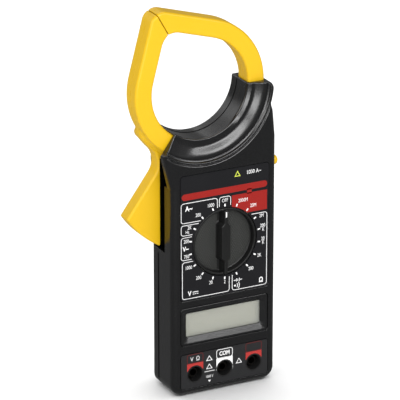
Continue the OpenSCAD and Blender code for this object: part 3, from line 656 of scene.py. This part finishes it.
def trigger_2d(x, z):
    points = ([(-41.5, 163.5), (-44.6, 161.5), (-45.7, 160.2), (-46.4, 158.4), (-45.8, 156.6)]
              + arc(-47.5, 140, 12, 50, -36.9, 14)
              + arc(PIVOT[0], PIVOT[2], TRIGGER_R, 213.2, 240.9, 14)
              + [(-28, 95), (-13, 126), (PIVOT[0] - 1, PIVOT[2] - 7.5), (PIVOT[0], PIVOT[2]),
                 ring_pt(38, 262), ring_pt(38, 246), ring_pt(38, 232), ring_pt(38, 218)])
    return outline(points, x, z)


def root_2d(x, z):
    points = [ring_pt(38, 238), (-27, 139), (-14, 133.5), (PIVOT[0], PIVOT[2] - 7.5),
              (PIVOT[0], PIVOT[2] + 2), ring_pt(38, 272)]
    return np.minimum(outline(points, x, z), disc(PIVOT[0], PIVOT[2], 7.5, x, z))


def moving_jaw_field(x, y, z):
    d = jaw_field(x, y, z, True)
    trigger = meet(trigger_2d(x, z), between(y, 0.02, TRIGGER_BACK), 1.5)
    side = -HALF - 1
    notch = outline([(side, 80), (-12, 80), (-12, 126), (-28, 141), (side, 143)], x, z)
    trigger = cut(trigger, notch, 0.4)
    d = join(d, trigger, 3.5)
    d = join(d, meet(root_2d(x, z), between(y, -3.0, TRIGGER_BACK), 0.4), 0.4)
    return cut(d, disc(PIVOT[0], PIVOT[2], 4.0, x, z))


def fixed_jaw_field(x, y, z):
    return jaw_field(x, y, z, False)


HALF_OVERLAP = 0.12


def half(field, front):
    return lambda x, y, z: np.maximum(field(x, y, z), y if front else -y - HALF_OVERLAP)


def make_jaws():
    parts = (("moving_jaw_front", moving_jaw_field, "jaw", True, (-53, 5, 130)),
             ("moving_jaw_rear", moving_jaw_field, "jaw", False, (-60, 5, 80)),
             ("fixed_jaw_front", fixed_jaw_field, "meter", True, (-42, 30, 140)),
             ("fixed_jaw_rear", fixed_jaw_field, "meter", False, (-42, 30, 140)))
    for node, field, body, is_front, (x0, x1, z0) in parts:
        low = (x0, -JAW_HALF if is_front else 0, z0)
        high = (x1, 0 if is_front else TRIGGER_BACK, 232)
        piece = solid(f"{node}_shell", half(field, is_front), low, high, 18000)
        finish_piece(piece, body, YELLOW, "yellow_abs", node)


# ---- controls ----
def knob_field(x, y, z):
    u, v = x - DIAL[0], z - DIAL[2]
    r = np.sqrt(u * u + v * v)
    d = meet(r - KNOB_R, between(y, FRONT + 0.1, -7.5), 0.4)
    d = cut(d, meet(r - (KNOB_R - 1.3), y - RECESS_Y, 0.8), 0.3)
    half_bar = [(-1.0, 19.4), (-1.0, 11.3), (-2.65, 9.9), (-2.65, -9.9), (-1.0, -11.3), (-1.0, -19.4)]
    side = outline(half_bar + [(-a, b) for a, b in reversed(half_bar)], u, v) - 0.05
    flare = np.maximum(y - GRIP_Y, 0) * 0.1
    grip = meet(side - flare, between(y, GRIP_Y, RECESS_Y + 1), 0.5)
    grip = meet(grip, r - KNOB_R + 0.3)
    d = join(d, grip, 0.8)
    notch = meet(rect(-0.45, 15.4, 0.45, 18.6, 0.2, u, v), y - GRIP_Y - 0.6)
    return cut(d, notch)


def button_field(x, y, z):
    r = np.sqrt((y - HOLD_Y) ** 2 + (z - HOLD_Z) ** 2)
    cap = meet(r - 2.85, between(x, 28.6, 37.6), 1.9)
    flange = meet(r - 3.7, between(x, 28.6, 30.3), 0.2)
    spring_room = np.maximum(r - 2.62, x - 30.75)
    stem = meet(r - 1.2, between(x, 27.8, 31.2), 0.2)
    return np.minimum(cut(np.minimum(cap, flange), spring_room), stem)


def display_field(x, y, z):
    """The sloped frame round the display, and the wall behind it that holds the glass."""
    outer = rect(-28.1, 31.3, 28.1, 54.3, 1.9, x, z)
    pane = rect(-23.9, 35.8, 23.9, 50.2, 1.0, x, z)
    share = np.clip((-outer - 1.1) / (-outer - 1.1 + np.maximum(pane, 0) + 0.001), 0, 1)
    height = FRONT + 1.8 * share
    d = meet(outer, (height - y) * 0.9, 0.5)
    d = meet(d, y + 10.9)
    d = cut(d, pane, 0.3)
    wall = meet(rect(-26.6, 33.2, 26.6, 52.4, 1, x, z), -rect(-25.2, 34, 25.2, 51.2, 0.2, x, z))
    wall = meet(wall, between(y, -11.5, -7.5))
    return np.minimum(d, wall)


def make_controls():
    knob = solid("range_knob_cap", knob_field, (-20.3, GRIP_Y, DIAL[2] - 20.3),
                 (20.3, -7.5, DIAL[2] + 20.3), 24000, STEP * 0.7)
    finish_piece(knob, "selector", KNOB, "knob_grey", "range_knob")
    disc_print = Print("knob_stipple", stippled(), FRONT - RECESS_Y + 0.03)
    for side in (-1, 1):
        rim = [turn(DIAL[0], DIAL[2], 18.3, a) for a in range(-81, 82, 3)]
        rim = [(side * x, z) for x, z in rim]
        disc_print.shape(rim)
    disc_print.done("selector")
    button = solid("hold_button_cap", button_field, (27.8, HOLD_Y - 3.7, HOLD_Z - 3.7),
                   (37.7, HOLD_Y + 3.7, HOLD_Z + 3.7), 3000, 0.3)
    finish_piece(button, "hold", YELLOW, "yellow_abs", "hold_button")
    display = solid("lcd_bezel", display_field, (-28.1, FRONT, 31.3), (28.1, -7.5, 54.3), 12000, STEP)
    finish_piece(display, "meter", BLACK, "case_black", "lcd_frame")


# ---- print on the labels ----
class Print:
    """Flat printed shapes of one colour, gathered into one thin mesh."""

    def __init__(self, name, mat, lift=0.03):
        self.name, self.mat, self.lift = name, mat, lift
        self.verts, self.faces = [], []

    def add(self, points, faces):
        start = len(self.verts)
        self.verts += [(x * MM, (FRONT - self.lift) * MM, z * MM) for x, z in points]
        self.faces += [[start + i for i in f] for f in faces]

    def shape(self, points):
        self.add(points, [list(range(len(points)))])

    def band(self, outer, inner):
        n = len(outer)
        self.add(outer + inner, [[i, (i + 1) % n, n + (i + 1) % n, n + i] for i in range(n)])

    def band_strip(self, one, other):
        """An open band between two rows of as many points."""
        n = len(one)
        self.add(one + other, [[i, i + 1, n + i + 1, n + i] for i in range(n - 1)])

    def line(self, points, width):
        """An open line of that width along the points."""
        left, right = [], []
        for i, (x, z) in enumerate(points):
            ax, az = points[max(i - 1, 0)]
            bx, bz = points[min(i + 1, len(points) - 1)]
            size = math.hypot(bx - ax, bz - az)
            nx, nz = -(bz - az) / size * width / 2, (bx - ax) / size * width / 2
            left.append((x + nx, z + nz))
            right.append((x - nx, z - nz))
        n = len(points)
        self.add(left + right, [[i, i + 1, n + i + 1, n + i] for i in range(n - 1)])

    def text(self, words, x, z, size, wide=0.82, bold=0.0):
        curve = bpy.data.curves.new("words", "FONT")
        curve.body = words
        curve.size = size * MM
        curve.align_x, curve.align_y = "CENTER", "CENTER"
        curve.offset = bold * size * MM
        curve.resolution_u = 3
        obj = bpy.data.objects.new("words", curve)
        bpy.context.scene.collection.objects.link(obj)
        ready = obj.evaluated_get(bpy.context.evaluated_depsgraph_get())
        mesh = bpy.data.meshes.new_from_object(ready)
        points = [(x + v.co.x * wide / MM, z + v.co.y / MM) for v in mesh.vertices]
        self.add(points, [list(p.vertices) for p in mesh.polygons])
        bpy.data.objects.remove(obj)

    def done(self, body="meter", slot=None):
        mesh = bpy.data.meshes.new(self.name)
        mesh.from_pydata(self.verts, [], self.faces)
        obj = bpy.data.objects.new(self.name, mesh)
        bpy.context.scene.collection.objects.link(obj)
        thick = obj.modifiers.new("ink", "SOLIDIFY")
        thick.thickness = 0.04 * MM
        thick.offset = 0
        finish_piece(obj, body, self.mat, slot)


def round_rect(x0, z0, x1, z1, r):
    return (arc(x0 + r, z0 + r, r, 180, 270, 5) + arc(x1 - r, z0 + r, r, 270, 360, 5)
            + arc(x1 - r, z1 - r, r, 0, 90, 5) + arc(x0 + r, z1 - r, r, 90, 180, 5))


DIAL_CLEAR_R = 21.9
FRAME_WIDTH = 0.34


def open_frame(ink, x0, z0, x1, z1, r):
    """A round-cornered frame, left open where it meets the dial's clear circle."""
    path = round_rect(x0, z0, x1, z1, r)
    dense = []
    for (ax, az), (bx, bz) in zip(path, path[1:] + path[:1]):
        n = max(int(math.hypot(bx - ax, bz - az) / 0.4), 1)
        dense += [(ax + (bx - ax) * i / n, az + (bz - az) * i / n) for i in range(n)]
    dense.append(dense[0])
    run = []
    for p in dense + [(DIAL[0], DIAL[2])]:
        if math.hypot(p[0] - DIAL[0], p[1] - DIAL[2]) > DIAL_CLEAR_R:
            run.append(p)
        else:
            if len(run) > 1:
                ink.line(run, FRAME_WIDTH)
            run = []


# what is printed round the dial: the words, and where their middle is
RANGES = [("1000", -9.1, 114.9), ("200", -17.1, 110.4), ("2K", -22.6, 103.6), ("200", -24.7, 95.6),
          ("750", -24.5, 86.3), ("1000", -23.2, 79.3), ("200", -16.8, 72.0), ("20", -9.0, 67.7),
          ("2", 0.0, 66.5), ("200", 16.9, 71.7), ("2K", 22.3, 79.0), ("20", 24.6, 88.8), ("K", 24.8, 86.5),
          ("200", 24.4, 96.9), ("K", 24.8, 94.5), ("2M", 23.6, 103.1), ("20M", 18.2, 110.4),
          ("2000M", 11.6, 114.6), ("OFF", 0.0, 116.4)]
POSITIONS = 18
RANGE_SIZE = 3.1


def print_face():
    white = Print("face_print_white", WHITE, 0.05)
    red = Print("face_print_red", RED, 0.02)
    lime = Print("face_print_lime", LIME, 0.05)
    red.shape(round_rect(-27.5, 120.4, 27.1, 124.3, 1.9))
    red.shape([(14.1, 118.0), (17.1, 118.0), (17.1, 121.0), (14.1, 121.0)])
    inner = arc(DIAL[0], DIAL[2], 20.9, 47.3, 77.9, 10)
    red.band_strip(inner, [(27.1, 106.6)] + [(27.1, 118.6)] * 5 + [(4.4, 118.6)] * 5)
    open_frame(white, -27.9, 106.8, -4.9, 118.7, 1.5)
    open_frame(white, -3.6, 100.0, 3.6, 118.7, 1.5)
    open_frame(white, -27.9, 99.3, -12.0, 105.4, 1.5)
    open_frame(white, -27.9, 84.3, -12.0, 98.0, 1.5)
    open_frame(white, -27.2, 60.3, 2.9, 82.9, 1.5)
    open_frame(white, 4.8, 60.3, 27.1, 105.0, 1.5)
    for i in range(POSITIONS):
        a = 90 - i * 360 / POSITIONS
        white.line([turn(DIAL[0], DIAL[2], r, a) for r in (21.5, 23.1)], 0.85)
    for words, x, z in RANGES:
        white.text(words, x, z, RANGE_SIZE, 0.72)
    white.text("A~", -23.0, 115.2, 4.2, 0.85, 0.03)
    white.text("V~", -25.0, 91.0, 3.9, 0.8, 0.03)
    white.text("V", -22.6, 63.2, 3.9, 0.85, 0.03)
    white.line([(-20.6, 63.9), (-17.0, 63.9)], 0.4)
    for x in (-20.1, -18.8, -17.5):
        white.line([(x - 0.45, 62.7), (x + 0.45, 62.7)], 0.4)
    white.text("Ω", 23.5, 63.4, 4.0, 0.9, 0.03)
    white.text("Hz", -24.0, 101.1, 2.6, 0.8)
    white.shape([(7.4, 65.2), (7.4, 67.2), (9.2, 66.2)])
    white.line([(5.8, 66.2), (11.2, 66.2)], 0.4)
    white.line([(9.4, 65.2), (9.4, 67.2)], 0.4)
    white.shape(arc(6.6, 62.9, 0.6, 0, 340, 8))
    for r in (1.7, 2.9):
        white.line(arc(6.6, 62.9, r, -42, 42, 6), 0.4)
    lime.band([(6.0, 129.6), (9.9, 129.6), (7.95, 133.2)], [(6.8, 130.1), (9.1, 130.1), (7.95, 132.2)])
    white.text("1000 A~", 18.4, 131.0, 3.4, 0.8)
    for piece in (white, red, lime):
        piece.done()


SOCKET_R = 5.45


def print_jacks():
    white = Print("jack_print_white", WHITE, 0.05)
    red = Print("jack_print_red", PALE_RED, 0.02)
    deep = Print("jack_print_deep_red", DEEP_RED, 0.02)
    for side in (-1, 1):
        cx = side * JACK_PITCH
        edge = [(cx - 5.2, JACK_Z + 2.5), (cx - 5.2, 19.4), (cx + 5.2, 19.4), (cx + 5.2, JACK_Z + 2.5)]
        patch(red, edge, cx)
        path = round_rect(cx - 5.1, 19.6, cx + 5.1, 25.0, 1.2)
        deep.line(path + path[:1], 0.3)
    patch(white, [(-5.3, JACK_Z - 1.5), (-5.3, 19.4), (5.3, 19.4), (5.3, JACK_Z - 1.5)], 0)
    path = round_rect(-5.15, 19.4, 5.15, 24.7, 1.2)
    white.line(path + path[:1], 0.35)
    white.text("COM", 0, 22.0, 3.7, 0.8, 0.03)
    white.text("V  Ω", -19.1, 22.0, 3.7, 0.85, 0.0)
    for x, z in ((-9.9, 20.7), (-9.9, 15.6), (9.4, 15.4)):
        white.band([(x - 2.1, z - 1.5), (x + 2.1, z - 1.5), (x, z + 1.8)],
                   [(x - 1.4, z - 1.1), (x + 1.4, z - 1.1), (x, z + 1.1)])
    white.line([(-13.0, 12.6), (-6.4, 12.6)], 0.35)
    white.text("1000 V", -9.8, 9.2, 2.3, 0.75)
    white.shape([(-10.7, 7.0), (-9.8, 5.6), (-8.9, 7.0)])
    for piece in (white, red, deep):
        piece.done()


def patch(ink, edge, cx):
    """A patch with the given upper edge that ends at the round socket below it."""
    dense = []
    for (ax, az), (bx, bz) in zip(edge, edge[1:]):
        n = 6
        dense += [(ax + (bx - ax) * i / n, az + (bz - az) * i / n) for i in range(n)]
    dense.append(edge[-1])
    lower = []
    for x, z in dense:
        a = math.atan2(z - JACK_Z, x - cx)
        lower.append((cx + SOCKET_R * math.cos(a), JACK_Z + SOCKET_R * math.sin(a)))
    ink.band_strip(dense, lower)


# ---- stage ----
def make_stage():
    bpy.ops.mesh.primitive_plane_add(size=12)
    floor = bpy.context.object
    floor.name = "floor"
    mat = bpy.data.materials.new("floor_pale")
    mat.use_nodes = True
    mat.node_tree.nodes["Principled BSDF"].inputs["Base Color"].default_value = (0.8, 0.8, 0.8, 1)
    mat.node_tree.nodes["Principled BSDF"].inputs["Roughness"].default_value = 0.9
    floor.data.materials.append(mat)
    floor.location.z = -0.0002
    floor.visible_glossy = False
    world = bpy.data.worlds.new("studio")
    world.use_nodes = True
    world.node_tree.nodes["Background"].inputs["Color"].default_value = (1, 1, 1, 1)
    world.node_tree.nodes["Background"].inputs["Strength"].default_value = 0.2
    bpy.context.scene.world = world
    not_floor = only_or_without("object_only", floor, "EXCLUDE")
    floor_only = only_or_without("floor_only", floor, "INCLUDE")
    add_light("front_low", (-0.83, -1.25, 0.28), (0.5, 0.45), (0, 0, 0.13), 6, not_floor)
    add_light("front_strip", (-0.12, -1.3, 0.9), (1.15, 0.5), (0, 0, 0.13), 14.5, not_floor)
    add_light("right_high", (0.77, -0.99, 0.95), (0.9, 0.4), (0, 0, 0.13), 7, not_floor)
    add_light("left_soft", (-1.35, -0.2, 0.85), (0.8, 0.8), (0, 0, 0.13), 8.5, not_floor)
    add_light("back_low", (-0.15, 1.3, 0.62), (1.4, 0.5), (0, 0, 0.13), 2, not_floor)
    add_light("back_top", (0.1, 0.75, 1.6), (1.3, 1.1), (0, 0.0, 0.1), 8, not_floor)
    sky = bpy.data.lights.new("floor_wash", "SUN")
    sky.energy, sky.angle = 5.0, math.radians(130)
    lamp = bpy.data.objects.new("floor_wash", sky)
    lamp.rotation_euler = (-Vector((0.3, 0.65, 1.3))).to_track_quat("-Z", "Y").to_euler()
    lamp.light_linking.receiver_collection = floor_only
    bpy.context.scene.collection.objects.link(lamp)
    bpy.context.scene.view_settings.view_transform = "Standard"


def only_or_without(name, obj, state):
    """A set for a light that reaches only this object, or all but this object."""
    group = bpy.data.collections.new(name)
    group.objects.link(obj)
    group.collection_objects[0].light_linking.link_state = state
    return group


def add_light(name, place, size, aim, power, reach):
    data = bpy.data.lights.new(name, "AREA")
    data.shape = "RECTANGLE"
    data.size, data.size_y = size
    data.energy = power
    lamp = bpy.data.objects.new(name, data)
    lamp.location = place
    lamp.rotation_euler = (Vector(aim) - Vector(place)).to_track_quat("-Z", "Y").to_euler()
    lamp.light_linking.receiver_collection = reach
    bpy.context.scene.collection.objects.link(lamp)


AIM = Vector((-9.04, 0, 113.64)) * MM
CAMERA_AZIMUTH, CAMERA_RISE, CAMERA_FAR = math.radians(-27.015), math.radians(20.718), 1.7724


def make_camera():
    data = bpy.data.cameras.new("camera")
    data.sensor_width = 36
    data.lens = 279.5
    data.clip_end = 50
    camera = bpy.data.objects.new("camera", data)
    away = Vector((math.sin(CAMERA_AZIMUTH) * math.cos(CAMERA_RISE),
                   -math.cos(CAMERA_AZIMUTH) * math.cos(CAMERA_RISE), math.sin(CAMERA_RISE)))
    camera.location = AIM + away * CAMERA_FAR
    camera.rotation_euler = (-away).to_track_quat("-Z", "Y").to_euler()
    bpy.context.scene.collection.objects.link(camera)
    bpy.context.scene.camera = camera


make_camera()
make_stage()
dress_cad_nodes()
make_case()
make_lines()
make_jaws()
make_controls()
print_face()
print_jacks()
